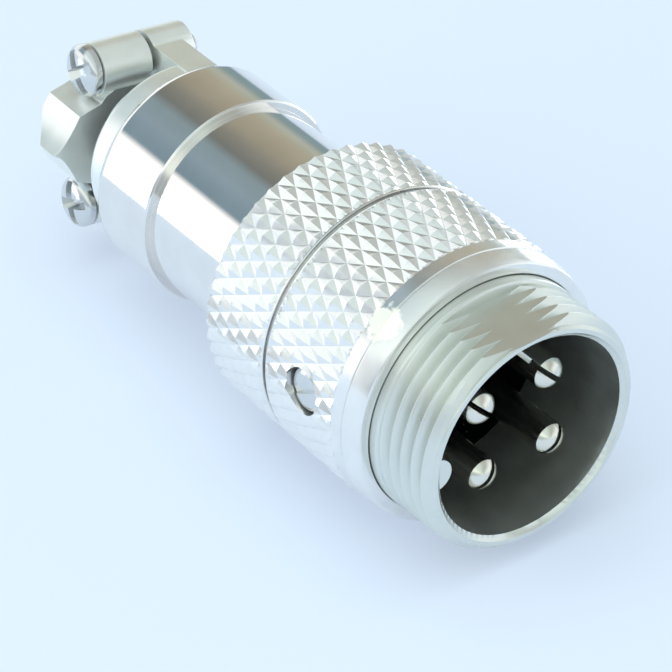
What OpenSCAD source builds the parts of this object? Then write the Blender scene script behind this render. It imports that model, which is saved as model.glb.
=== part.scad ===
// Circular cable connector, male, four contacts, with a knurled sleeve and a screwed cable clamp.
// +X is the mating direction and +Z is up as it lies. The origin is on the axis, at the front face
// of the knurled sleeve, where the mating nut stops.

/* [Threaded nose] */
// Outside diameter of the mating thread
thread_d = 16; // [14:0.5:18]
// How far the nose stands out of the sleeve
nose_l = 5.3; // [4:0.1:8]
// Wall between the thread's crests and the socket bore
nose_wall = 1.22; // [1.1:0.01:2]
// Chamfer on the outer edge of the rim
rim_chamfer = 0.65; // [0.3:0.05:0.8]
// Depth of the milled flat on the thread
flat_depth = 0.7; // [0.1:0.05:0.9]
// Direction of the milled flat, from +Y towards +Z
flat_angle = 93; // [0:1:359]
// Radius of the half-round key in the bore
key_r = 1.1; // [0.8:0.05:1.3]
// How far the key's centre lies inside the wall of the bore
key_inset = 0.33; // [0.1:0.01:0.6]
// How far the key starts behind the rim
key_setback = 1; // [0.5:0.1:3]
// Direction of the key, from +Y towards +Z
key_angle = 184; // [0:1:359]

/* [Contacts] */
// Number of contact pins
pin_count = 4; // [2:1:4]
// Diameter of the circle that the pins stand on
pin_circle_d = 7.2; // [6.4:0.1:7.6]
// Diameter of a pin
pin_d = 2.1; // [1.6:0.05:2.3]
// How far the pin tips lie behind the rim
pin_setback = 1.15; // [0.5:0.05:3]
// Length of a pin in front of the insulator
pin_free_l = 6.85; // [5:0.05:7.5]
// Width of the spring slit in a pin
slit_w = 0.32; // [0.2:0.02:0.5]
// Depth of the spring slit
slit_l = 3; // [2:0.1:4.5]
// Diameter of the solder cups
cup_d = 2.4; // [2:0.1:2.6]
// Length of the solder cups behind the insulator
cup_l = 4; // [3:0.1:5]
// Thickness of the insulator block
insulator_l = 5.5; // [4.5:0.1:6]
// Thickness of the plate behind the insulator
plate_l = 1.5; // [1:0.1:2]

/* [Knurled sleeve] */
// How far the knurl stands outside the mating thread
sleeve_wall = 1.25; // [1.05:0.05:3]
// Length of the sleeve
sleeve_l = 15.65; // [14:0.05:20]
// How far the smooth collar lies inside the knurl's crests
collar_step = 0.13; // [0.05:0.01:0.3]
// Length of the smooth collar
collar_l = 2.55; // [2:0.05:4]
// Diamonds round the knurl
knurl_n = 48; // [36:2:60]
// Depth of the knurl
knurl_depth = 0.25; // [0.2:0.05:0.5]
// Distance from the rim to the turned groove
groove_at = 14.7; // [13:0.1:16]
// Width of the turned groove
groove_w = 0.5; // [0.3:0.05:1]
// Diameter of the set screw
set_screw_d = 3; // [2:0.5:3]
// Distance from the rim to the set screw
set_screw_at = 10.9; // [10:0.1:12]
// Direction of the set screw, from +Y towards +Z
set_screw_angle = 175; // [0:1:359]

/* [Backshell] */
// Room round the solder cups inside the backshell
cup_room = 1.11; // [0.5:0.01:1.3]
// Height of the step from the front of the backshell to its rear
shell_step = 0.5; // [0.2:0.05:1]
// Length of the front of the backshell behind the sleeve
spigot_l = 9.65; // [8:0.05:14]
// Length of the rear of the backshell
shell_l = 5.9; // [5:0.1:10]
// Diameter of the neck behind the shell
neck_d = 12.4; // [11.8:0.1:13]
// Length of the neck
neck_l = 2.5; // [1.5:0.1:4]
// Diameter of the cable hole
cable_d = 7; // [5:0.5:7]
// Wall of the backshell
shell_wall = 0.95; // [0.7:0.05:1.2]

/* [Cable clamp] */
// Roll of the clamp about the axis
clamp_roll = -6; // [-90:1:90]
// Width of the clamp along the cable
strap_w = 3.8; // [3:0.1:4.5]
// Distance from the neck to the clamp
strap_gap = 2.3; // [1:0.1:4]
// Metal between the cable channel and a clamp screw
screw_wall = 0.25; // [0.2:0.05:1]
// Diameter of the screw bosses
boss_d = 3.6; // [3:0.1:4]
// Length of a boss on the loose half
boss_l = 3.7; // [3:0.1:5]
// Distance from the axis to the ridge of a half
ridge_h = 7.45; // [6.5:0.05:8]
// Gap between the two halves
split_gap = 0.34; // [0.2:0.02:0.6]
// Diameter of the clamp screws
screw_d = 2; // [1.6:0.1:2]
// Length of the clamp screws under the head
screw_l = 8; // [7:0.5:10]

/* [Hidden] */
$fn = 96;

// Clearances: parts that slide in each other, and parts that are screwed together
slide_gap = 0.02;
thread_gap = 0.03;

// Places along the axis
rim_x = nose_l;
sleeve_front = 0;
sleeve_rear = sleeve_front - sleeve_l;
collar_rear = sleeve_front - collar_l;
pin_tip = rim_x - pin_setback;
insulator_front = pin_tip - pin_free_l;
set_screw_x = rim_x - set_screw_at;
groove_x = rim_x - groove_at;
insulator_rear = insulator_front - insulator_l;
plate_rear = insulator_rear - plate_l;
ring_t = 0.7;
ring_rear = plate_rear - slide_gap - ring_t;
shoulder_x = insulator_front - 1.5;
nose_rear = ring_rear - 1.5;
step_x = sleeve_rear - spigot_l;
shell_rear = step_x - shell_l;
neck_rear = shell_rear - neck_l;
strap_front = neck_rear - strap_gap;
screw_x = strap_front - 1.4;
strap_rear = strap_front - strap_w;

// Radii
nose_r = thread_d / 2;
tail_r = nose_r - 0.25;
bore_r = nose_r - nose_wall;
flat_h = nose_r - flat_depth;
key_at = bore_r - key_inset;
seat_r = bore_r + 0.32;
groove_r = seat_r + 0.36;
sleeve_r = nose_r + sleeve_wall;
collar_r = sleeve_r - collar_step;
knurl_root_r = sleeve_r - knurl_depth;
core_r = knurl_root_r - 0.1;
mouth_r = nose_r + 0.15;
mouth_l = 1;
cavity_r = pin_circle_d / 2 + cup_d / 2 + cup_room;
spigot_r = cavity_r + shell_wall;
shell_r = spigot_r + shell_step;
neck_r = neck_d / 2;
cable_r = cable_d / 2;
channel_r = cable_r + 0.25;
screw_w = channel_r + screw_wall + screw_d / 2;
pin_r = pin_d / 2;
pin_collar_r = pin_r + 0.45;
pin_collar_l = 1;
cup_r = cup_d / 2;
head_r = screw_d * 0.9;
head_h = screw_d * 0.62;
boss_r = boss_d / 2;
boss_seat = split_gap / 2 + boss_l;
far_boss_l = boss_l - 0.6;

// An arc as points: centre, radius, and the angles of its ends
function arc(cx, cy, r, a0, a1, n = 10) =
    [for (i = [0 : n]) let (a = a0 + (a1 - a0) * i / n) [cx + r * cos(a), cy + r * sin(a)]];

// A solid turned about the connector's axis, from points of [radius, x]
module turned(points) {
    rotate([0, 90, 0]) rotate_extrude() polygon(points);
}

// A cylinder along the connector's axis, between two places
module rod_x(r, x0, x1) {
    translate([min(x0, x1), 0, 0]) rotate([0, 90, 0]) cylinder(r = r, h = abs(x1 - x0));
}

// Children turned so that their +Y points in a direction about the axis
module towards(angle) {
    rotate([angle, 0, 0]) children();
}

// Children on the circle of the pins, at a pin's place
module at_pin(i) {
    towards(key_angle - 135 + (i - 1) * 90) translate([0, pin_circle_d / 2, 0]) children();
}

// ---- Threaded nose ----

module key_rib(r) {
    towards(key_angle) translate([0, key_at, 0]) rod_x(r, rim_x - key_setback, shoulder_x);
}

module front_shell() {
    bore = [[0, rim_x + 1], [bore_r + 0.3, rim_x + 1], [bore_r + 0.3, rim_x], [bore_r, rim_x - 0.3],
            [bore_r, shoulder_x], [seat_r, shoulder_x], [seat_r, nose_rear - 1], [0, nose_rear - 1]];
    groove = [[seat_r - 0.5, plate_rear], [groove_r, plate_rear], [groove_r, ring_rear - slide_gap],
              [seat_r - 0.5, ring_rear - slide_gap]];
    body = [[0, rim_x], [nose_r - rim_chamfer, rim_x], [nose_r, rim_x - rim_chamfer],
            [nose_r, sleeve_front], [tail_r, sleeve_front], [tail_r, nose_rear], [0, nose_rear]];
    color("gainsboro") {
        difference() {
            // The seam of the turned body is kept well away from the flat
            towards(flat_angle - 52) turned(body);
            turned(bore);
            turned(groove);
            towards(flat_angle) translate([sleeve_front + 0.7, flat_h, -nose_r])
                cube([nose_l + 1, nose_r, 2 * nose_r]);
            towards(set_screw_angle) translate([set_screw_x, tail_r - 0.4, 0])
                rotate([-90, 0, 0])
                cylinder(r1 = set_screw_d / 4 + 0.05, r2 = set_screw_d / 2 + 0.05, h = 0.45);
        }
        intersection() {
            key_rib(key_r);
            rod_x(bore_r + 0.2, rim_x, shoulder_x);
        }
    }
}

// ---- Contacts and their insulator ----

module insulator() {
    body = [[0, insulator_front], [bore_r - slide_gap, insulator_front],
            [bore_r - slide_gap, shoulder_x], [seat_r - slide_gap, shoulder_x],
            [seat_r - slide_gap, insulator_rear], [0, insulator_rear]];
    color([0.07, 0.07, 0.08]) difference() {
        turned(body);
        key_rib(key_r + slide_gap);
        for (i = [1 : 4]) at_pin(i) {
            rod_x(pin_r + slide_gap, insulator_front + 1, insulator_rear - 1);
            rod_x(pin_collar_r + slide_gap, insulator_rear + pin_collar_l, insulator_rear - 1);
        }
    }
}

module insulator_plate() {
    color([0.07, 0.07, 0.08]) difference() {
        rod_x(seat_r - slide_gap, insulator_rear, plate_rear);
        for (i = [1 : 4]) at_pin(i) rod_x(cup_r + slide_gap, insulator_rear + 1, plate_rear - 1);
    }
}

// A turned pin with a domed and slit tip, a collar that the plate traps, and a solder cup
module pin(i, slit_angle) {
    cup_rear = plate_rear - cup_l;
    profile = concat(
        arc(0, pin_tip - pin_r, pin_r, 90, 0),
        [[pin_r, insulator_rear + pin_collar_l], [pin_collar_r, insulator_rear + pin_collar_l],
         [pin_collar_r, insulator_rear], [cup_r, insulator_rear], [cup_r, cup_rear], [0, cup_rear]]);
    color("silver") at_pin(i) difference() {
        turned(profile);
        towards(slit_angle - (key_angle - 135 + (i - 1) * 90))
            translate([pin_tip - slit_l, -pin_r - 1, -slit_w / 2])
            cube([slit_l + 1, pin_d + 2, slit_w]);
        rod_x(cup_r - 0.35, cup_rear - 1, cup_rear + cup_l - 0.8);
        translate([cup_rear - 1, cup_r * 0.2, -cup_r - 1]) cube([cup_l * 0.6 + 1, cup_r + 1, cup_d + 2]);
    }
}

module pin_1() { pin(1, 137); }
module pin_2() { pin(2, 137); }
module pin_3() { pin(3, 47); }
module pin_4() { pin(4, 47); }

// A spring ring, open on one side, that snaps into the groove behind the plate
module retaining_ring() {
    color("silver") difference() {
        rod_x(groove_r - slide_gap, plate_rear - slide_gap, ring_rear);
        rod_x(seat_r - 0.6, plate_rear + 1, ring_rear - 1);
        towards(key_angle) translate([ring_rear - 1, 0, -1.2]) cube([ring_t + 2, nose_r, 2.4]);
    }
}

// ---- Knurled sleeve ----

// A band of diamond knurling: crests and roots take turns along and round the band, and
// each cell is split along its root line, which leaves four-sided pyramids
module knurl_band(x0, x1) {
    cols = 2 * knurl_n;
    half_pitch = 2 * PI * sleeve_r / cols;
    rows = round((x1 - x0) * tan(30) / half_pitch);
    row_l = (x1 - x0) / rows;
    inner_r = core_r - 0.4;
    function turn(j) = -360 * (j - 0.5) / cols;
    function at(i, j) = i * cols + j % cols;
    function rim(i, j) = (rows + 1) * cols + i * cols + j % cols;
    outer = [for (i = [0 : rows], j = [0 : cols - 1])
        let (r = (i + j) % 2 == 0 ? sleeve_r : knurl_root_r)
        [x0 + i * row_l, r * cos(turn(j)), r * sin(turn(j))]];
    inner = [for (x = [x0, x1], j = [0 : cols - 1]) [x, inner_r * cos(turn(j)), inner_r * sin(turn(j))]];
    skin = [for (i = [0 : rows - 1], j = [0 : cols - 1])
        each (i + j) % 2 == 0
            ? [[at(i, j), at(i, j + 1), at(i + 1, j)], [at(i, j + 1), at(i + 1, j + 1), at(i + 1, j)]]
            : [[at(i, j), at(i, j + 1), at(i + 1, j + 1)], [at(i, j), at(i + 1, j + 1), at(i + 1, j)]]];
    ends = [for (j = [0 : cols - 1])
        each [[at(0, j + 1), at(0, j), rim(0, j), rim(0, j + 1)],
              [at(rows, j), at(rows, j + 1), rim(1, j + 1), rim(1, j)],
              [rim(0, j + 1), rim(0, j), rim(1, j), rim(1, j + 1)]]];
    polyhedron(concat(outer, inner), concat(skin, ends), convexity = 10);
}

module set_screw_hole(r) {
    towards(set_screw_angle) translate([set_screw_x, nose_r - 1, 0])
        rotate([-90, 0, 0]) cylinder(r = r, h = sleeve_r);
}

module knurled_sleeve() {
    body = concat(
        [[0, sleeve_rear], [core_r - 0.2, sleeve_rear], [core_r, sleeve_rear + 0.2], [core_r, collar_rear],
         [collar_r, collar_rear], [collar_r, collar_rear + collar_l * 0.42]],
        arc(collar_r - 0.45, sleeve_front - 0.25, 0.25, 20, 90, 6),
        [[0, sleeve_front]]);
    bore = [[0, sleeve_front + 1], [mouth_r, sleeve_front + 1], [mouth_r, sleeve_front - mouth_l],
            [tail_r + slide_gap, sleeve_front - mouth_l], [tail_r + slide_gap, nose_rear],
            [spigot_r + thread_gap, nose_rear], [spigot_r + thread_gap, sleeve_rear - 1],
            [0, sleeve_rear - 1]];
    groove = [[core_r - 0.25, groove_x - groove_w / 2], [sleeve_r + 1, groove_x - groove_w / 2],
              [sleeve_r + 1, groove_x + groove_w / 2], [core_r - 0.25, groove_x + groove_w / 2]];
    color("gainsboro") difference() {
        union() {
            turned(body);
            knurl_band(sleeve_rear + 0.25, collar_rear);
        }
        turned(bore);
        turned(groove);
        set_screw_hole(set_screw_d / 2 + slide_gap);
    }
}

// A slotted grub screw with a cone point that sits in the dimple of the nose
module set_screw() {
    r = set_screw_d / 2;
    tip = tail_r - 0.4 + slide_gap;
    top = sleeve_r - 0.45;
    profile = [[0, tip], [r * 0.5, tip], [r, tip + 0.45], [r, top - 0.15], [r - 0.15, top], [0, top]];
    color("silver") towards(set_screw_angle) translate([set_screw_x, 0, 0]) rotate([-90, 0, 0])
        difference() {
            rotate_extrude() polygon(profile);
            rotate(30) translate([-r - 1, -0.2, top - 0.55]) cube([2 * r + 2, 0.4, 2]);
        }
}

// ---- Backshell and cable clamp ----

// Outline of one half of the clamp, seen along the axis: ears, sloping shoulders and a ridge
module half_outline() {
    beside_head = screw_w - head_r - 0.15;
    flank = concat([for (t = [0 : 0.1 : 1]) [ridge_h - 1.95 * pow(t, 0.62), (beside_head - 0.55) * t]],
                   [[boss_seat, beside_head], [boss_seat - 0.4, beside_head + 0.5],
                    [split_gap / 2, screw_w + 0.2]]);
    polygon(concat([for (i = [len(flank) - 1 : -1 : 1]) [flank[i][0], -flank[i][1]]], flank));
}

// Both ears of a half, with their bosses along +Y
module clamp_half(length) {
    // Seen from the side, the ridge is narrower than the ears and slopes down to the rear
    profile = [[strap_front, 0], [strap_front, ridge_h], [strap_front - strap_w * 0.45, ridge_h],
            [strap_rear, ridge_h - 1.45], [strap_rear, 0]];
    difference() {
        union() {
            intersection() {
                translate([strap_rear, 0, 0]) rotate([90, 0, 90]) linear_extrude(strap_w) half_outline();
                translate([0, 0, -sleeve_r]) linear_extrude(2 * sleeve_r) polygon(profile);
            }
            for (side = [-1, 1]) translate([screw_x, split_gap / 2, side * screw_w])
                rotate([-90, 0, 0]) cylinder(r = boss_r, h = length);
        }
        rod_x(channel_r, strap_front + 1, strap_rear - 1);
    }
}

module screw_holes(r) {
    for (side = [-1, 1]) translate([screw_x, -1, side * screw_w])
        rotate([-90, 0, 0]) cylinder(r = r, h = ridge_h + 2);
}

module backshell() {
    outer = concat(
        [[0, nose_rear - 0.4], [spigot_r, nose_rear - 0.4], [spigot_r, step_x],
         [shell_r - 0.12, step_x], [shell_r, step_x - 0.12]],
        arc(shell_r - 0.8, shell_rear + 0.8, 0.8, 0, -90),
        [[neck_r, shell_rear]],
        arc(neck_r - 0.5, neck_rear + 0.5, 0.5, 0, -90),
        [[0, neck_rear]]);
    cavity = [[0, nose_rear], [cavity_r, nose_rear], [cavity_r, shell_rear + 3], [cable_r, shell_rear + 1],
              [cable_r, neck_rear - 1], [0, neck_rear - 1]];
    web_h = 2.3;
    color("gainsboro") difference() {
        union() {
            turned(outer);
            towards(clamp_roll) {
                clamp_half(far_boss_l);
                // Webs that carry the ears from the neck, and the trough between them
                for (side = [-1, 1])
                    translate([screw_x, split_gap / 2, side * (screw_w + 0.2) - 1.1])
                    cube([shell_rear + 0.8 - screw_x, web_h, 2.2]);
                intersection() {
                    rod_x(channel_r + 1.4, strap_front - 0.5, neck_rear + 1);
                    translate([strap_rear, split_gap / 2, -10]) cube([20, 20, 20]);
                }
            }
        }
        turned(cavity);
        towards(clamp_roll) screw_holes(screw_d / 2);
        towards(clamp_roll) rod_x(channel_r, neck_rear + 0.3, strap_rear - 1);
    }
}

module clamp_saddle() {
    color("gainsboro") towards(clamp_roll) mirror([0, 1, 0]) difference() {
        clamp_half(boss_l);
        screw_holes(screw_d / 2 + 0.12);
    }
}

// A pan-head screw with a cross recess; its head seats on a boss of the saddle
module clamp_screw(side) {
    dome_r = (head_r * head_r + head_h * head_h) / (2 * head_h) * 1.25;
    shank_r = screw_d / 2 - thread_gap;
    profile = concat(
        [[0, screw_l], [shank_r - 0.25, screw_l], [shank_r, screw_l - 0.25], [shank_r, 0], [head_r, 0],
         [head_r, -head_h * 0.35]],
        [for (t = [0.9 : -0.1 : 0]) [head_r * t, -head_h + (dome_r - sqrt(dome_r * dome_r
            - head_r * head_r * t * t)) * 0.6]]);
    color("silver") towards(clamp_roll) translate([screw_x, -boss_seat - slide_gap, side * screw_w])
        rotate([-90, 0, 0]) difference() {
            rotate_extrude() polygon(profile);
            for (a = [0, 90]) rotate(a + 20) translate([-head_r * 0.55, -0.2, -head_h - 1])
                cube([head_r * 1.1, 0.4, 1 + head_h * 0.65]);
        }
}

module clamp_screw_upper() { clamp_screw(1); }
module clamp_screw_lower() { clamp_screw(-1); }

front_shell();
insulator();
insulator_plate();
pin_1();
pin_2();
pin_3();
pin_4();
retaining_ring();
knurled_sleeve();
set_screw();
backshell();
clamp_saddle();
clamp_screw_upper();
clamp_screw_lower();
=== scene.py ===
# %% [markdown]
# # A four-contact circular cable plug
# This lesson finishes a small nickel-plated cable plug: a threaded nose with contacts inside, a
# knurled sleeve, a plain backshell and a little screwed clamp for the cable. The sizes come from a
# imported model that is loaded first, and it stays as it is. We add what a plain model lacks: a real
# cut thread, softened edges, plated surfaces, a table and studio light.
# The axis of the plug is X and the nose points to +X. Z is up. Blender works in metres here, so
# every size below is written in millimetres and multiplied by MM.

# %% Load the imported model
import math

import bpy
from mathutils import Matrix, Vector


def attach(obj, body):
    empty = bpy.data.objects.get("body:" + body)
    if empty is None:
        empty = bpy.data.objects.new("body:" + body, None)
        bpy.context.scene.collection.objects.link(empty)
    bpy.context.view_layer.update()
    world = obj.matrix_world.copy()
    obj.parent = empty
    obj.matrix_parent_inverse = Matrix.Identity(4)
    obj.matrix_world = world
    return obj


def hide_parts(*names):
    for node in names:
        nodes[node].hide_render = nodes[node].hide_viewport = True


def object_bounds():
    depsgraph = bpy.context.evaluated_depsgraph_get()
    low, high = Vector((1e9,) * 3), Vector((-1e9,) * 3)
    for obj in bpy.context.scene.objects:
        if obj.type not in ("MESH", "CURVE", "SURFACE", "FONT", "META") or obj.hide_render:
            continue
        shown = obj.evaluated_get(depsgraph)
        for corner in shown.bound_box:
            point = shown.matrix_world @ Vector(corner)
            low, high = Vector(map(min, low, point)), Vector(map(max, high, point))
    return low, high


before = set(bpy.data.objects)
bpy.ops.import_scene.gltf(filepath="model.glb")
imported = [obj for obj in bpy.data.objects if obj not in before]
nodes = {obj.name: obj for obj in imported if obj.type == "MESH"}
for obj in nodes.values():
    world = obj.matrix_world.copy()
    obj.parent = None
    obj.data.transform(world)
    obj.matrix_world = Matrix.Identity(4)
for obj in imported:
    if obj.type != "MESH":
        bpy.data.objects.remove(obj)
cad_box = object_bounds()
MM = 0.001
box_mm = [[round(c / MM, 2) for c in corner] for corner in cad_box]
print("nodes:", len(nodes), "box in mm:", box_mm)

# %% [markdown]
# ## Two helpers for materials
# Paint charts and web pages give colours as sRGB hex values, but a render is computed in linear
# light. `colour` turns one into the other. `add_node` puts one node into a material, sets its
# values and joins its inputs, so that each material below reads as a short list of layers.


# %% Colour and node helpers
def colour(hex_value):
    """An sRGB hex value such as "c8c6c2", as linear red, green, blue and alpha."""
    parts = [int(hex_value[i : i + 2], 16) / 255 for i in (0, 2, 4)]
    return (*[p / 12.92 if p <= 0.04045 else ((p + 0.055) / 1.055) ** 2.4 for p in parts], 1)


def add_node(tree, kind, values=None, links=None, **settings):
    """Adds a node, sets its properties and socket values, and links its inputs."""
    node = tree.nodes.new(kind)
    for name, value in settings.items():
        setattr(node, name, value)
    for name, value in (values or {}).items():
        node.inputs[name].default_value = value
    for name, source in (links or {}).items():
        tree.links.new(source, node.inputs[name])
    return node


print("mid grey in linear light:", round(colour("808080")[0], 3))

# %% [markdown]
# ## Bright nickel plating
# The turned parts are brass or zinc with a thin coat of bright nickel. Plating follows every tool
# mark, so a turned part keeps fine rings round its axis, and these stretch each highlight a little.
# A one-dimensional noise that reads only X gives rings at no cost: the pattern can't change round
# the part. A second, cloudy noise gives the slightly uneven polish that handling leaves. Each part
# gets its own roughness, because the knurl and the castings are duller than the polished shell.
# Their surface is finely pitted under the plating and scatters some light in all directions. That
# is why their metallic value is a little under 1: it lifts the dark sides to a soft pale grey.


# %% Nickel material
def plated_metal(name, base, rough, ring_mm, ring_depth, cloud_mm=2.2, cloud=0.08, metallic=1):
    """Plated metal with turning rings `ring_mm` apart round X, and cloudy polish.

    `cloud_mm` is the size of the clouds, and `cloud` is how much they change the roughness.
    """
    material = bpy.data.materials.new(name)
    material.use_nodes = True
    tree = material.node_tree
    shader = tree.nodes["Principled BSDF"]
    shader.inputs["Metallic"].default_value = metallic
    place = add_node(tree, "ShaderNodeTexCoord")
    along = add_node(tree, "ShaderNodeSeparateXYZ", links={"Vector": place.outputs["Object"]})
    rings = add_node(
        tree, "ShaderNodeTexNoise", noise_dimensions="1D",
        values={"Scale": 1 / (ring_mm * MM), "Detail": 3, "Roughness": 0.6},
        links={"W": along.outputs["X"]},
    )
    clouds = add_node(
        tree, "ShaderNodeTexNoise", values={"Scale": 1 / (cloud_mm * MM), "Detail": 4},
        links={"Vector": place.outputs["Object"]},
    )
    low, high = rough * (1 - 2 * cloud), rough * (1 + 3 * cloud)
    polish = add_node(
        tree, "ShaderNodeMapRange",
        values={"From Min": 0.3, "From Max": 0.7, "To Min": low, "To Max": high},
        links={"Value": clouds.outputs["Fac"]},
    )
    tree.links.new(polish.outputs["Result"], shader.inputs["Roughness"])
    tint = add_node(tree, "ShaderNodeValToRGB", links={"Fac": clouds.outputs["Fac"]})
    tint.color_ramp.elements[0].position, tint.color_ramp.elements[1].position = 0.3, 0.7
    darker = [c * 0.94 for c in colour(base)[:3]]
    tint.color_ramp.elements[0].color = (*darker, 1)
    tint.color_ramp.elements[1].color = colour(base)
    tree.links.new(tint.outputs["Color"], shader.inputs["Base Color"])
    bump = add_node(
        tree, "ShaderNodeBump", values={"Strength": ring_depth, "Distance": 0.01 * MM},
        links={"Height": rings.outputs["Fac"]},
    )
    tree.links.new(bump.outputs["Normal"], shader.inputs["Normal"])
    return material


KNURL_METALLIC = 0.92
shell_nickel = plated_metal("bright_nickel_turned", "f0eeea", 0.08, 0.08, 0.08)
nose_nickel = plated_metal("satin_nickel_threaded", "e1e5df", 0.32, 0.06, 0.15, metallic=0.93)
# The flat's warmer, pinkish base colour is a painted reflection of the warm part of the room.
flat_nickel_warm_reflection = plated_metal(
    "satin_nickel_milled_painted_warm", "e0cbc6", 0.34, 0.5, 0.1, cloud_mm=1.5, metallic=0.93
)
knurl_nickel = plated_metal(
    "bright_nickel_knurled", "f2f2f0", 0.2, 0.1, 0.1, cloud_mm=1.2, metallic=KNURL_METALLIC
)
cast_nickel = plated_metal(
    "satin_nickel_cast", "f2f5f0", 0.36, 0.4, 0.03, cloud_mm=1.6, cloud=0.04, metallic=0.85
)
screw_zinc = plated_metal(
    "bright_zinc_screw", "dcdede", 0.18, 0.12, 0.1, cloud_mm=0.9, metallic=0.95
)
contact_silver = plated_metal(
    "dull_silver_contact", "e9e7dc", 0.2, 0.07, 0.1, cloud_mm=2, cloud=0.03
)
print("metals:", [m.name for m in bpy.data.materials])

# %% [markdown]
# ## A rubbed patch
# The collar of the sleeve has one pale yellowish patch, where rubbing has dulled the nickel. The
# patch is a distance from one point on the collar, made ragged by a noise. Inside it the metal
# scatters more light, so it looks matt and almost white beside the mirror of the collar.

# %% Rubbed patch on the collar
PATCH_X, PATCH_TURN, PATCH_RING, PATCH_R = -1.55, math.radians(131), 9.05, 1.1
RAG_SIZE, RAG_DEPTH, EDGE_OUT, EDGE_IN, RUBBED_METALLIC = 0.5, 1.4, 0.9, 0.5, 0.35
tree = knurl_nickel.node_tree
shader = tree.nodes["Principled BSDF"]
plain_tint = shader.inputs["Base Color"].links[0].from_socket
patch_y, patch_z = PATCH_RING * math.cos(PATCH_TURN), PATCH_RING * math.sin(PATCH_TURN)
centre = Vector((PATCH_X, patch_y, patch_z)) * MM
place = add_node(tree, "ShaderNodeTexCoord")
away = add_node(
    tree, "ShaderNodeVectorMath", operation="DISTANCE", values={1: centre},
    links={0: place.outputs["Object"]},
)
ragged = add_node(
    tree, "ShaderNodeTexNoise", values={"Scale": 1 / (RAG_SIZE * MM), "Detail": 3},
    links={"Vector": place.outputs["Object"]},
)
edge = add_node(
    tree, "ShaderNodeMath", operation="MULTIPLY_ADD", values={1: RAG_DEPTH * MM},
    links={0: ragged.outputs["Fac"], 2: away.outputs["Value"]},
)
rubbed = add_node(
    tree, "ShaderNodeMapRange", interpolation_type="SMOOTHSTEP",
    values={"From Min": (PATCH_R + EDGE_OUT) * MM, "From Max": (PATCH_R + EDGE_IN) * MM},
    links={"Value": edge.outputs["Value"]},
)
worn = add_node(
    tree, "ShaderNodeMix", data_type="RGBA", values={"B": colour("f4f3e4")},
    links={0: rubbed.outputs["Result"], "A": plain_tint},
)
tree.links.new(worn.outputs["Result"], shader.inputs["Base Color"])
dulled = add_node(
    tree, "ShaderNodeMapRange", values={"To Min": KNURL_METALLIC, "To Max": RUBBED_METALLIC},
    links={"Value": rubbed.outputs["Result"]},
)
tree.links.new(dulled.outputs["Result"], shader.inputs["Metallic"])
print("patch centre in mm:", [round(c / MM, 2) for c in centre])

# %% [markdown]
# ## Black phenolic
# The block that carries the contacts is moulded phenolic, a hard black resin, and pale dust
# settles on it. The dust is the small space round the points of a Voronoi pattern, so only a few
# specks show. A solid resin has an IOR near 1.6. Here the IOR and the specular level are low,
# because the block sits in a deep bore and should hardly shine.

# %% Phenolic material
SPECK_CELL, SPECK_CORE, SPECK_EDGE = 0.85, 0.045, 0.075
phenolic = bpy.data.materials.new("black_phenolic_moulded")
phenolic.use_nodes = True
tree = phenolic.node_tree
shader = tree.nodes["Principled BSDF"]
shader.inputs["Roughness"].default_value = 0.34
shader.inputs["IOR"].default_value = 1.15
shader.inputs["Specular IOR Level"].default_value = 0.03
place = add_node(tree, "ShaderNodeTexCoord")
specks = add_node(
    tree, "ShaderNodeTexVoronoi", values={"Scale": 1 / (SPECK_CELL * MM)},
    links={"Vector": place.outputs["Object"]},
)
dust = add_node(tree, "ShaderNodeValToRGB", links={"Fac": specks.outputs["Distance"]})
stops = ((SPECK_CORE, "9aa6aa"), (SPECK_EDGE, "020203"))
for element, (position, value) in zip(dust.color_ramp.elements, stops):
    element.position, element.color = position, colour(value)
tree.links.new(dust.outputs["Color"], shader.inputs["Base Color"])

# %% [markdown]
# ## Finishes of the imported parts
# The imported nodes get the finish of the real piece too. Most of them are replaced further on, but
# the block, its plate and the spring ring behind it stay as they are.

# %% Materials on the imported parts
finishes = {
    "backshell": shell_nickel, "clamp_saddle": cast_nickel, "retaining_ring": screw_zinc,
    "insulator": phenolic, "insulator_plate": phenolic,
}
for name, node in nodes.items():
    node.data.materials.clear()
    node.data.materials.append(finishes.get(name, contact_silver))
print("finished nodes:", len(nodes))

# %% [markdown]
# ## Helpers for modelling
# Each new piece is made as by hand: a primitive, then edit mode, then modifiers. Operators act on
# the selection, so `start_piece` clears it first. `finish_modifier` adds a modifier and applies it
# at once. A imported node's mesh is loose triangles, so `merged_copy` joins its corners and clears
# its flat faces of needless edges before anything is cut from it.


# %% Modelling helpers
def only(piece):
    """Makes a piece the only selected and active object."""
    bpy.ops.object.select_all(action="DESELECT")
    piece.select_set(True)
    bpy.context.view_layer.objects.active = piece


def start_piece(name, add, **settings):
    """Adds a primitive to an empty selection, fixes its place in its mesh, and names it."""
    bpy.ops.object.select_all(action="DESELECT")
    add(**settings)
    piece = bpy.context.object
    bpy.ops.object.transform_apply(location=True, rotation=True, scale=True)
    piece.name = piece.data.name = name
    return piece


def edit(piece, *steps):
    """Runs edit-mode operators on a whole piece, each given as (operator, settings)."""
    only(piece)
    bpy.ops.object.mode_set(mode="EDIT")
    for operator, settings in steps:
        bpy.ops.mesh.select_all(action="SELECT")
        operator(**settings)
    bpy.ops.object.mode_set(mode="OBJECT")


def finish_modifier(piece, kind, **settings):
    """Adds a modifier to a piece and applies it."""
    only(piece)
    modifier = piece.modifiers.new(kind.lower(), kind)
    for name, value in settings.items():
        setattr(modifier, name, value)
    bpy.ops.object.modifier_apply(modifier=modifier.name)


def combine(piece, tool, operation="DIFFERENCE"):
    """Cuts a piece with a tool, or joins the two; the tool is used up."""
    finish_modifier(piece, "BOOLEAN", object=tool, operation=operation, solver="EXACT")
    bpy.data.objects.remove(tool)


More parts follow.
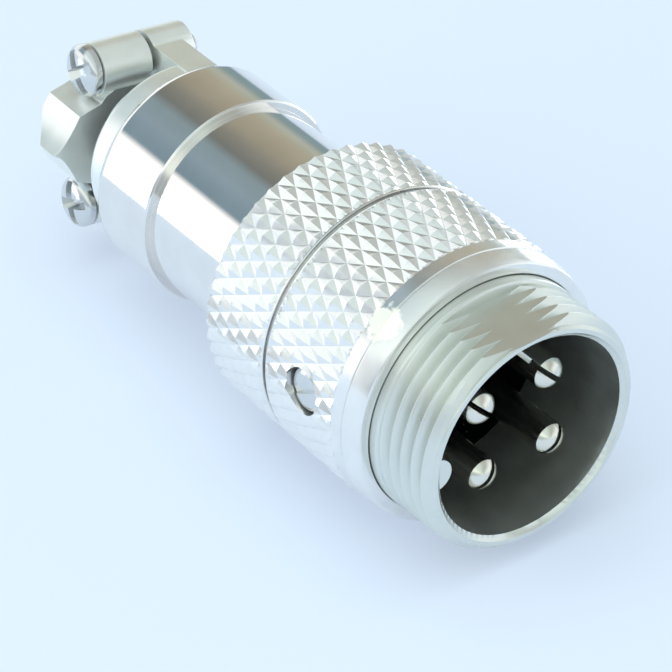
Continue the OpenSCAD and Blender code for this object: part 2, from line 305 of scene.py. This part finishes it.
def merged_copy(node, name):
    """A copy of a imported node's mesh as a new piece, with its corners merged."""
    piece = bpy.data.objects.new(name, nodes[node].data.copy())
    bpy.context.scene.collection.objects.link(piece)
    piece.data.name = name
    edit(
        piece,
        (bpy.ops.mesh.remove_doubles, {"threshold": 0.001 * MM}),
        (bpy.ops.mesh.dissolve_limited, {"angle_limit": math.radians(0.5)}),
    )
    return piece


def finish_piece(piece, material, node, body="housing", smooth=30, weighted=True):
    """Shades a piece, gives it its material and body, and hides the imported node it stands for."""
    only(piece)
    bpy.ops.object.shade_smooth_by_angle(angle=math.radians(smooth))
    if weighted:
        finish_modifier(piece, "WEIGHTED_NORMAL", mode="FACE_AREA", keep_sharp=True)
    piece.data.materials.clear()
    piece.data.materials.append(material)
    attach(piece, body)
    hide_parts(node)
    low = [round(min(v.co[k] for v in piece.data.vertices) / MM, 2) for k in range(3)]
    high = [round(max(v.co[k] for v in piece.data.vertices) / MM, 2) for k in range(3)]
    print(piece.name, "faces", len(piece.data.polygons), "from", low, "to", high)


def wrapped_grid(name, outline, columns, radius=None):
    """A closed outline of (x, radius) in mm, wound round X from a flat grid primitive.

    `radius(x, turn, r)` may change a point's radius, for a surface that isn't plain turning.
    """
    rows = len(outline)
    grid = start_piece(
        name, bpy.ops.mesh.primitive_grid_add, x_subdivisions=columns, y_subdivisions=rows, size=MM
    )
    for k, vertex in enumerate(grid.data.vertices):
        j, i = k % (columns + 1), k // (columns + 1)
        x, r = outline[i % rows]
        turn = math.tau * (j % columns) / columns
        if radius:
            r = radius(x, turn, r)
        vertex.co = (x * MM, r * math.cos(turn) * MM, r * math.sin(turn) * MM)
    edit(
        grid,
        (bpy.ops.mesh.remove_doubles, {"threshold": 0.0005 * MM}),
        (bpy.ops.mesh.normals_make_consistent, {"inside": False}),
    )
    return grid


# %% [markdown]
# ## Threaded nose
# The nose screws into its socket with a metric thread, 16 mm across with a pitch of 1 mm. On the
# real one a tool cuts a V groove along a helix in a lathe, and then a flat is milled across the
# crests. We do the same: one V outline goes round the nose and advances a pitch each turn, with
# the Screw modifier, and the groove that it sweeps is cut from the nose. Where the flat meets the
# grooves, the crests end in long pointed fingers by themselves. The V's mouth flares, so that the
# crests come out rounded, as plating leaves them.

# %% Thread
PITCH, CREST_R, ROOT_R, TURNS, FIRST_GROOVE = 1.0, 8.0, 7.4, 6, 0.05
half_v = [(0.07, ROOT_R), (0.36, 7.88), (0.42, 7.95), (0.485, 7.985), (0.492, 8.4)]
v_outline = [(-x, r) for x, r in reversed(half_v)] + half_v
groove = start_piece(
    "thread_groove", bpy.ops.mesh.primitive_circle_add, vertices=len(v_outline), radius=MM,
    fill_type="NGON",
)
for vertex, (x, radius) in zip(groove.data.vertices, v_outline):
    vertex.co = ((x + FIRST_GROOVE) * MM, 0, radius * MM)
finish_modifier(
    groove, "SCREW", axis="X", angle=math.tau, screw_offset=PITCH * MM, iterations=TURNS, steps=90,
    render_steps=90,
)
edit(
    groove,
    (bpy.ops.mesh.fill_holes, {"sides": 0}),
    (bpy.ops.mesh.normals_make_consistent, {"inside": False}),
)
nose = merged_copy("front_shell", "threaded_nose")
combine(nose, groove)
neck_outline = [(-0.9, 7.0), (-0.9, 8.1), (0.5, 8.1), (0.62, 8.06), (0.72, 7.9), (0.72, 7.0)]
neck = wrapped_grid("neck", neck_outline, 192)
combine(nose, neck, "UNION")
finish_piece(nose, nose_nickel, "front_shell", smooth=14)

# %% [markdown]
# ## The milled flat
# A cutter took the flat off the crests after the thread was cut, so it has its own grain. Its
# slightly warmer, pinkish tone is a painted reflection of the warm part of the room. The widest face
# that looks up and not along X gives the plane, and all faces in that plane get the finish.

# %% Flat
FACES_UP, NO_TILT, NEAR_ROOT, PARALLEL, PLANE_SLACK = 0.8, 0.001, 0.99, 0.9995, 0.01
nose.data.materials.append(flat_nickel_warm_reflection)
level = [
    face for face in nose.data.polygons
    if face.center.x > 0 and face.normal.z > FACES_UP and abs(face.normal.x) < NO_TILT
    and math.hypot(face.center.y, face.center.z) > ROOT_R * NEAR_ROOT * MM
]
widest = max(level, key=lambda face: face.area)
flat_faces = [
    face for face in nose.data.polygons
    if face.normal.dot(widest.normal) > PARALLEL
    and abs((face.center - widest.center).dot(widest.normal)) < PLANE_SLACK * MM
]
for face in flat_faces:
    face.material_index = 1
print("flat faces", len(flat_faces), "normal", [round(c, 2) for c in widest.normal])

# %% [markdown]
# ## Contact pins
# The four pins are turned from brass rod and plated. Their tips are low domes with a distinct
# edge, so a tip is bright right to its edge while the shaft behind it mirrors the black block. The
# packed pins have half-round tips, so a copy of each gets its tip points moved onto a flatter cap.

# %% Contact pins
PIN_CIRCLE_R, PIN_TIP, PIN_R, CAP_R, FIRST_PIN, TIP_SLACK = 3.6, 4.15, 1.05, 1.2, 49, 0.02
for k in range(4):
    pin = merged_copy(f"pin_{k + 1}", f"contact_pin_{k + 1}")
    turn = math.radians(FIRST_PIN + 90 * k)
    centre_y, centre_z = PIN_CIRCLE_R * math.cos(turn), PIN_CIRCLE_R * math.sin(turn)
    for vertex in pin.data.vertices:
        x, y, z = vertex.co / MM
        off_axis = min(PIN_R, math.hypot(y - centre_y, z - centre_z))
        if x > PIN_TIP - PIN_R - TIP_SLACK:
            vertex.co.x = (PIN_TIP - CAP_R + math.sqrt(CAP_R**2 - off_axis**2)) * MM
    finish_piece(pin, contact_silver, f"pin_{k + 1}", smooth=28)

# %% [markdown]
# ## Knurled sleeve
# Knurling is rolled: two hard wheels press crossing grooves into the turning sleeve, and leave
# rows of small four-sided studs between them. A plain model has sharp studs. Here the whole skin
# of the sleeve, outside and inside, is one flat grid that is wound round the axis. Each point of
# the knurled zone gets its height from how far it is from the two nearest grooves, and the tops
# are cut a little short, as wear leaves them. Points deeper than SKIN_DEPTH belong to the bore.

# %% Knurl height
GROOVE_X = -9.4
STUDS, KNURL_FRONT, KNURL_REAR, KNURL_ROWS = 48, -2.55, -15.4, 12
TOP_R, BOTTOM_R, WORN_TOP = 9.25, 9.0, 0.92
GROOVE_HALF, SKIN_DEPTH, EDGE_SLACK = 0.28, 0.3, 0.01
ROW_L = (KNURL_FRONT - KNURL_REAR) / KNURL_ROWS


def knurl_radius(x, turn, limit):
    """Radius of the knurl at a point, but never above the turned outline there."""
    outside = not KNURL_REAR - EDGE_SLACK < x < KNURL_FRONT + EDGE_SLACK
    if outside or abs(x - GROOVE_X) < GROOVE_HALF or limit < BOTTOM_R - SKIN_DEPTH:
        return limit
    u = turn / math.tau * 2 * STUDS + 0.5
    v = (x - KNURL_REAR) / ROW_L
    across = [abs((d + 1) % 2 - 1) for d in (u + v, u - v)]
    height = min(WORN_TOP, 1 - max(across))
    return min(limit, BOTTOM_R + (TOP_R - BOTTOM_R) * height)


# %% [markdown]
# ## Sleeve in one grid
# The turned groove, the collar and the bore are more rows of the same grid. After the grid is
# wound, each of its squares is split along the diagonal nearer the axis, so that the roots of the
# knurl run straight. The faces are marked before edit mode, so it has to select by face here.

# %% Sleeve outline
FINE, GROOVE_CLEAR = 4, 0.3
knurl_rows = [
    (KNURL_REAR + ROW_L * i / FINE, TOP_R)
    for i in range(KNURL_ROWS * FINE + 1)
    if abs(KNURL_REAR + ROW_L * i / FINE - GROOVE_X) > GROOVE_CLEAR
]
groove_profile = [
    (-0.27, 9.12), (-0.18, 9.11), (-0.15, 9.07), (-0.14, 8.75), (0.03, 8.75), (0.06, 8.94),
    (0.2, 9.1), (0.27, 9.12),
]
turned_groove = [(GROOVE_X + x, r) for x, r in groove_profile]
front_rows = [row for row in knurl_rows if row[0] > GROOVE_X]
rear_rows = [row for row in knurl_rows if row[0] < GROOVE_X]
collar = [
    (-2.5, 9.12), (-1.59, 9.12), (-1.55, 9.04), (-1.45, 9.04), (-1.41, 9.1), (-0.45, 8.98),
    (-0.2, 8.93), (-0.1, 8.87), (-0.03, 8.78), (0, 8.66), (0, 8.2), (-0.04, 8.15),
]
inside = [(-1, 8.15), (-1, 7.77), (-11.92, 7.77), (-11.92, 6.89), (-15.6, 6.89), (-15.65, 6.94)]
rear_end = [(-15.65, 8.7), (-15.62, 8.84), (-15.5, 9.02), (-15.42, 9.08)]
sleeve = wrapped_grid(
    "knurled_grip", rear_end + rear_rows + turned_groove + front_rows + collar + inside,
    STUDS * 2 * 4, knurl_radius,
)
for face in sleeve.data.polygons:
    reach = [sleeve.data.vertices[k].co.yz.length for k in face.vertices]
    face.select = len(reach) == 4 and reach[0] + reach[2] < reach[1] + reach[3]
only(sleeve)
bpy.context.tool_settings.mesh_select_mode = (False, False, True)
bpy.ops.object.mode_set(mode="EDIT")
bpy.ops.mesh.quads_convert_to_tris(quad_method="FIXED")
bpy.ops.mesh.select_all(action="SELECT")
bpy.ops.mesh.quads_convert_to_tris(quad_method="FIXED_ALTERNATE")
bpy.ops.object.mode_set(mode="OBJECT")
bpy.context.tool_settings.mesh_select_mode = (True, False, False)
print("sleeve triangles before the hole:", len(sleeve.data.polygons))

# %% [markdown]
# ## Hole for the set screw
# The set screw comes in through a drilled hole, so the hole cuts straight through the studs.

# %% Set screw hole
PIN_SCREW_X, PIN_SCREW_TURN, HOLE_R, HOLE_Y = -5.6, math.radians(175), 1.53, 9.0
hole = start_piece(
    "set_screw_hole", bpy.ops.mesh.primitive_cylinder_add, vertices=64, radius=HOLE_R * MM,
    depth=3 * MM, location=(0, HOLE_Y * MM, 0), rotation=(math.pi / 2, 0, 0),
)
hole.data.transform(Matrix.Rotation(PIN_SCREW_TURN, 4, "X"))
hole.data.transform(Matrix.Translation((PIN_SCREW_X * MM, 0, 0)))
combine(sleeve, hole)
finish_piece(sleeve, knurl_nickel, "knurled_sleeve", smooth=18, weighted=False)

# %% [markdown]
# ## Set screw
# A small slotted screw keeps the sleeve from turning off the nose. Its top sits a little below the
# knurl. It is turned from an outline, like the clamp screws further on, and a shallow slot is cut.

# %% Set screw
pin_outline = [
    (7.37, 0.02), (7.37, 0.75), (7.8, 1.4), (8.45, 1.42), (8.6, 1.36), (8.72, 1.2), (8.8, 0.95),
    (8.86, 0.5), (8.87, 0.02),
]
SLOT_AT, SLOT_SIZE, SLOT_TURN = 8.95, (0.9, 4, 0.36), math.radians(30)
grub = wrapped_grid("slotted_set_screw", pin_outline, 64)
slot = start_piece(
    "slot", bpy.ops.mesh.primitive_cube_add, size=MM, location=(SLOT_AT * MM, 0, 0),
    scale=SLOT_SIZE,
)
slot.data.transform(Matrix.Rotation(SLOT_TURN, 4, "X"))
combine(grub, slot)
grub.data.transform(
    Matrix.Translation((PIN_SCREW_X * MM, 0, 0)) @ Matrix.Rotation(PIN_SCREW_TURN, 4, "X")
    @ Matrix.Rotation(math.pi / 2, 4, "Z")
)
finish_piece(grub, screw_zinc, "set_screw", smooth=30)

# %% [markdown]
# ## Backshell and clamp halves
# A light always catches on the small rounding of a real edge. The Bevel modifier adds it to
# copies of the two castings, only where faces meet at more than 32 degrees. What lies behind the
# round body of the backshell, down to the fixed half of the clamp, is duller, so its faces get the
# satin finish of the other casting.

# %% Softened castings
SOFT_ANGLE, SHELL_REAR = math.radians(32), -31.3
shell = merged_copy("backshell", "plain_backshell")
finish_modifier(
    shell, "BEVEL", width=0.09 * MM, segments=2, limit_method="ANGLE", angle_limit=SOFT_ANGLE,
    harden_normals=False, use_clamp_overlap=True,
)
finish_piece(shell, shell_nickel, "backshell", smooth=35)
shell.data.materials.append(cast_nickel)
cast_faces = [f for f in shell.data.polygons if f.center.x < SHELL_REAR * MM]
for face in cast_faces:
    face.material_index = 1
print("cast faces behind the shell:", len(cast_faces))
saddle = merged_copy("clamp_saddle", "clamp_saddle_cast")
finish_modifier(
    saddle, "BEVEL", width=0.12 * MM, segments=3, limit_method="ANGLE", angle_limit=SOFT_ANGLE,
    harden_normals=False, use_clamp_overlap=True,
)
finish_piece(saddle, cast_nickel, "clamp_saddle", body="saddle", smooth=35)

# %% [markdown]
# ## Clamp screws
# The clamp screws are small pan heads with a cross recess. The driver has opened the recess to
# the edge of the head, so the four slots end in notches in the rim. Each head is turned from an
# outline round the screw's own axis and then cut by two tapered slots.

# %% Clamp screws
HEAD_R, HEAD_H, SCREW_R, SCREW_L, CLAMP_ROLL = 1.78, 1.2, 0.96, 8.0, math.radians(-6)
CROSS_AT, CROSS_SIZE, CROSS_DEEP_L, CROSS_DEEP_W = 0.85, (1.1, 3.9, 0.78), 0.5, 0.6
SCREW_X, SCREW_W, SEAT_Y = -37.4, 5.0, -3.89
head_outline = [
    (0.02, -SCREW_L), (SCREW_R - 0.25, -SCREW_L), (SCREW_R, -SCREW_L + 0.25), (SCREW_R, 0),
    (HEAD_R - 0.22, 0), (HEAD_R, 0.18), (HEAD_R, 0.5), (HEAD_R - 0.05, 0.68), (HEAD_R - 0.2, 0.86),
    (HEAD_R - 0.5, 1.04), (HEAD_R - 0.95, 1.15), (HEAD_R - 1.4, 1.19), (0.02, HEAD_H),
]


def clamp_screw(name, node, body, side, turn):
    """A pan-head screw with a worn cross recess, set in its place in the clamp."""
    screw = wrapped_grid(name, [(h, r) for r, h in head_outline], 64)
    for k in range(2):
        slot = start_piece(
            "slot", bpy.ops.mesh.primitive_cube_add, size=MM,
            location=(CROSS_AT * MM, 0, 0), scale=CROSS_SIZE,
        )
        for vertex in slot.data.vertices:
            if vertex.co.x < CROSS_AT * MM:
                vertex.co.y *= CROSS_DEEP_L
                vertex.co.z *= CROSS_DEEP_W
        edit(slot, (bpy.ops.mesh.normals_make_consistent, {"inside": False}))
        slot.data.transform(Matrix.Rotation(turn + k * math.pi / 2, 4, "X"))
        combine(screw, slot)
    stand = Matrix.Rotation(-math.pi / 2, 4, "Z")
    place = Matrix.Translation(Vector((SCREW_X, SEAT_Y, side * SCREW_W)) * MM)
    screw.data.transform(Matrix.Rotation(CLAMP_ROLL, 4, "X") @ place @ stand)
    finish_piece(screw, screw_zinc, node, body=body, smooth=35)


clamp_screw("upper_pan_head_screw", "clamp_screw_upper", "screw_upper", 1, math.radians(38))
clamp_screw("lower_pan_head_screw", "clamp_screw_lower", "screw_lower", -1, math.radians(20))

# %% [markdown]
# ## Table
# The plug lies on its knurled sleeve. The table top is a wide plane at the lowest point of the
# imported model. It is matt pale blue paper with a painted glow: it gives off a little light of its
# own, which lifts the shadow so that it stays soft and pale.

# %% Table top
FLOOR_Z = cad_box[0][2]
bpy.ops.object.select_all(action="DESELECT")
bpy.ops.mesh.primitive_plane_add(size=1.6, location=(0, 0, FLOOR_Z))
table = bpy.context.object
table.name = "table_top"
paper = bpy.data.materials.new("pale_blue_paper_painted_glow")
paper.use_nodes = True
sheet = paper.node_tree.nodes["Principled BSDF"]
sheet.inputs["Base Color"].default_value = colour("a4adb6")
sheet.inputs["Roughness"].default_value = 0.8
sheet.inputs["Specular IOR Level"].default_value = 0
# The emission is a painted glow that lifts the shadow on the table.
sheet.inputs["Emission Color"].default_value = colour("dce8ff")
sheet.inputs["Emission Strength"].default_value = 0.41
table.data.materials.append(paper)

# %% [markdown]
# ## Light
# A polished cylinder is a curved mirror: each narrow band of its side shows one direction of the
# room. So the room is what we design. Its colours depend only on the angle round X, which gives
# long straight bands on every turned part, as strip softboxes and dark gaps would. The room has
# three parts along X: the side part shows in plain cylinders, the brighter front part in faces
# that tilt to the nose, such as studs and the cone of the collar, and the rear is a pale wall.

# %% World of soft bands
world = bpy.data.worlds.new("studio_bands")
bpy.context.scene.world = world
world.use_nodes = True
tree = world.node_tree
direction = add_node(tree, "ShaderNodeTexCoord")
parts = add_node(tree, "ShaderNodeSeparateXYZ", links={"Vector": direction.outputs["Generated"]})
angle = add_node(tree, "ShaderNodeMath", operation="ARCTAN2")
tree.links.new(parts.outputs["Z"], angle.inputs[0])
tree.links.new(parts.outputs["Y"], angle.inputs[1])
turn = add_node(
    tree, "ShaderNodeMapRange",
    values={"From Min": 0, "From Max": math.pi, "To Min": 0, "To Max": 1},
    links={"Value": angle.outputs["Value"]},
)
rooms = {
    "side": [
        (0, "788e95"), (0.06, "7e9093"), (0.12, "a5a99e"), (0.2, "a09b8a"), (0.34, "928d7e"),
        (0.42, "7e7e76"), (0.5, "6f726f"), (0.56, "7f9097"), (0.66, "8395a0"), (0.8, "738895"),
        (0.835, "ffffff"), (1, "ffffff"),
    ],
    "front": [
        (0, "f2fafc"), (0.09, "e6eef2"), (0.17, "ccd4d8"), (0.26, "a8acaa"), (0.4, "b0b8b6"),
        (0.53, "ccdad9"), (0.66, "ccdada"), (0.74, "eaf4f2"), (0.83, "f4fcf8"), (0.88, "b4bcc4"),
        (0.94, "a8b2b8"), (1, "a0aab0"),
    ],
    "rear": [(0, "f2f8fa"), (1, "f2f8fa")],
}
views = {}
for name, stops in rooms.items():
    ramp = add_node(tree, "ShaderNodeValToRGB", links={"Fac": turn.outputs["Result"]})
    elements = ramp.color_ramp.elements
    for position, value in stops[1:-1]:
        elements.new(position).color = colour(value)
    elements[0].color, elements[-1].color = colour(stops[0][1]), colour(stops[-1][1])
    views[name] = ramp.outputs["Color"]
room = views["side"]
for name, start, full in (("front", -0.5, -0.4), ("rear", -0.8, -0.88)):
    fade = add_node(
        tree, "ShaderNodeMapRange", interpolation_type="SMOOTHSTEP",
        values={"From Min": start, "From Max": full}, links={"Value": parts.outputs["X"]},
    )
    mix = add_node(tree, "ShaderNodeMix", data_type="RGBA", links={0: fade.outputs["Result"]})
    tree.links.new(room, mix.inputs["A"])
    tree.links.new(views[name], mix.inputs["B"])
    room = mix.outputs["Result"]
background = tree.nodes["Background"]
tree.links.new(room, background.inputs["Color"])
background.inputs["Strength"].default_value = 1.3

# %% [markdown]
# ## Softboxes and cards
# The two softboxes light the paper and the matt surfaces and leave the shadow. They don't show in
# the metal, because the room already gives each mirror its bands. The two small cards do the
# opposite: they show only in the metal, as white paper held close to a shiny thing does, and put
# the bright edges on the far and the near side of the plug.


# %% Lights
def area_light(name, place_mm, aim_mm, size_mm, watts, tint):
    """A soft rectangular light that faces a point."""
    data = bpy.data.lights.new(name, "AREA")
    data.shape, data.size, data.size_y = "RECTANGLE", size_mm[0] * MM, size_mm[1] * MM
    data.energy, data.color = watts, colour(tint)[:3]
    lamp = bpy.data.objects.new(name, data)
    bpy.context.scene.collection.objects.link(lamp)
    lamp.location = Vector(place_mm) * MM
    aim = Vector(aim_mm) * MM - lamp.location
    lamp.rotation_euler = aim.to_track_quat("-Z", "Y").to_euler()
    lamp.visible_glossy = False
    return lamp


area_light("softbox_over", (60, -80, 520), (0, 0, 0), (600, 600), 2.0, "eef8ff")
area_light("softbox_left", (-120, -420, 200), (-15, 0, 0), (500, 240), 1.0, "ffffff")
card = area_light("reflector_card", (-32, 56, 2), (4, 5, 6), (40, 24), 0.006, "ffffff")
low_card = area_light("low_card", (-64, -50, -1), (-22, -4, 5), (24, 16), 0.0019, "f6fcff")
for lamp in (card, low_card):
    lamp.visible_glossy, lamp.visible_diffuse, lamp.visible_camera = True, False, False

# %% [markdown]
# ## Camera
# A long lens from above the nose, 36 degrees up. `right`, `up` and `back` are the camera's own
# axes in the plug's frame, so the view is set by one matrix.

# %% Camera
right, up = Vector((0.5877, 0.8091, 0)), Vector((-0.4799, 0.3486, 0.8051))
back = right.cross(up)
camera_data = bpy.data.cameras.new("camera")
camera = bpy.data.objects.new("camera", camera_data)
bpy.context.scene.collection.objects.link(camera)
turned = Matrix((right, up, back)).transposed().to_4x4()
camera.matrix_world = Matrix.Translation(Vector((115.43, -94.36, 114.0)) * MM) @ turned
camera_data.sensor_width = 36
camera_data.lens = 168.07
camera_data.clip_start = 0.01
bpy.context.scene.camera = camera
bpy.context.scene.view_settings.view_transform = "Standard"
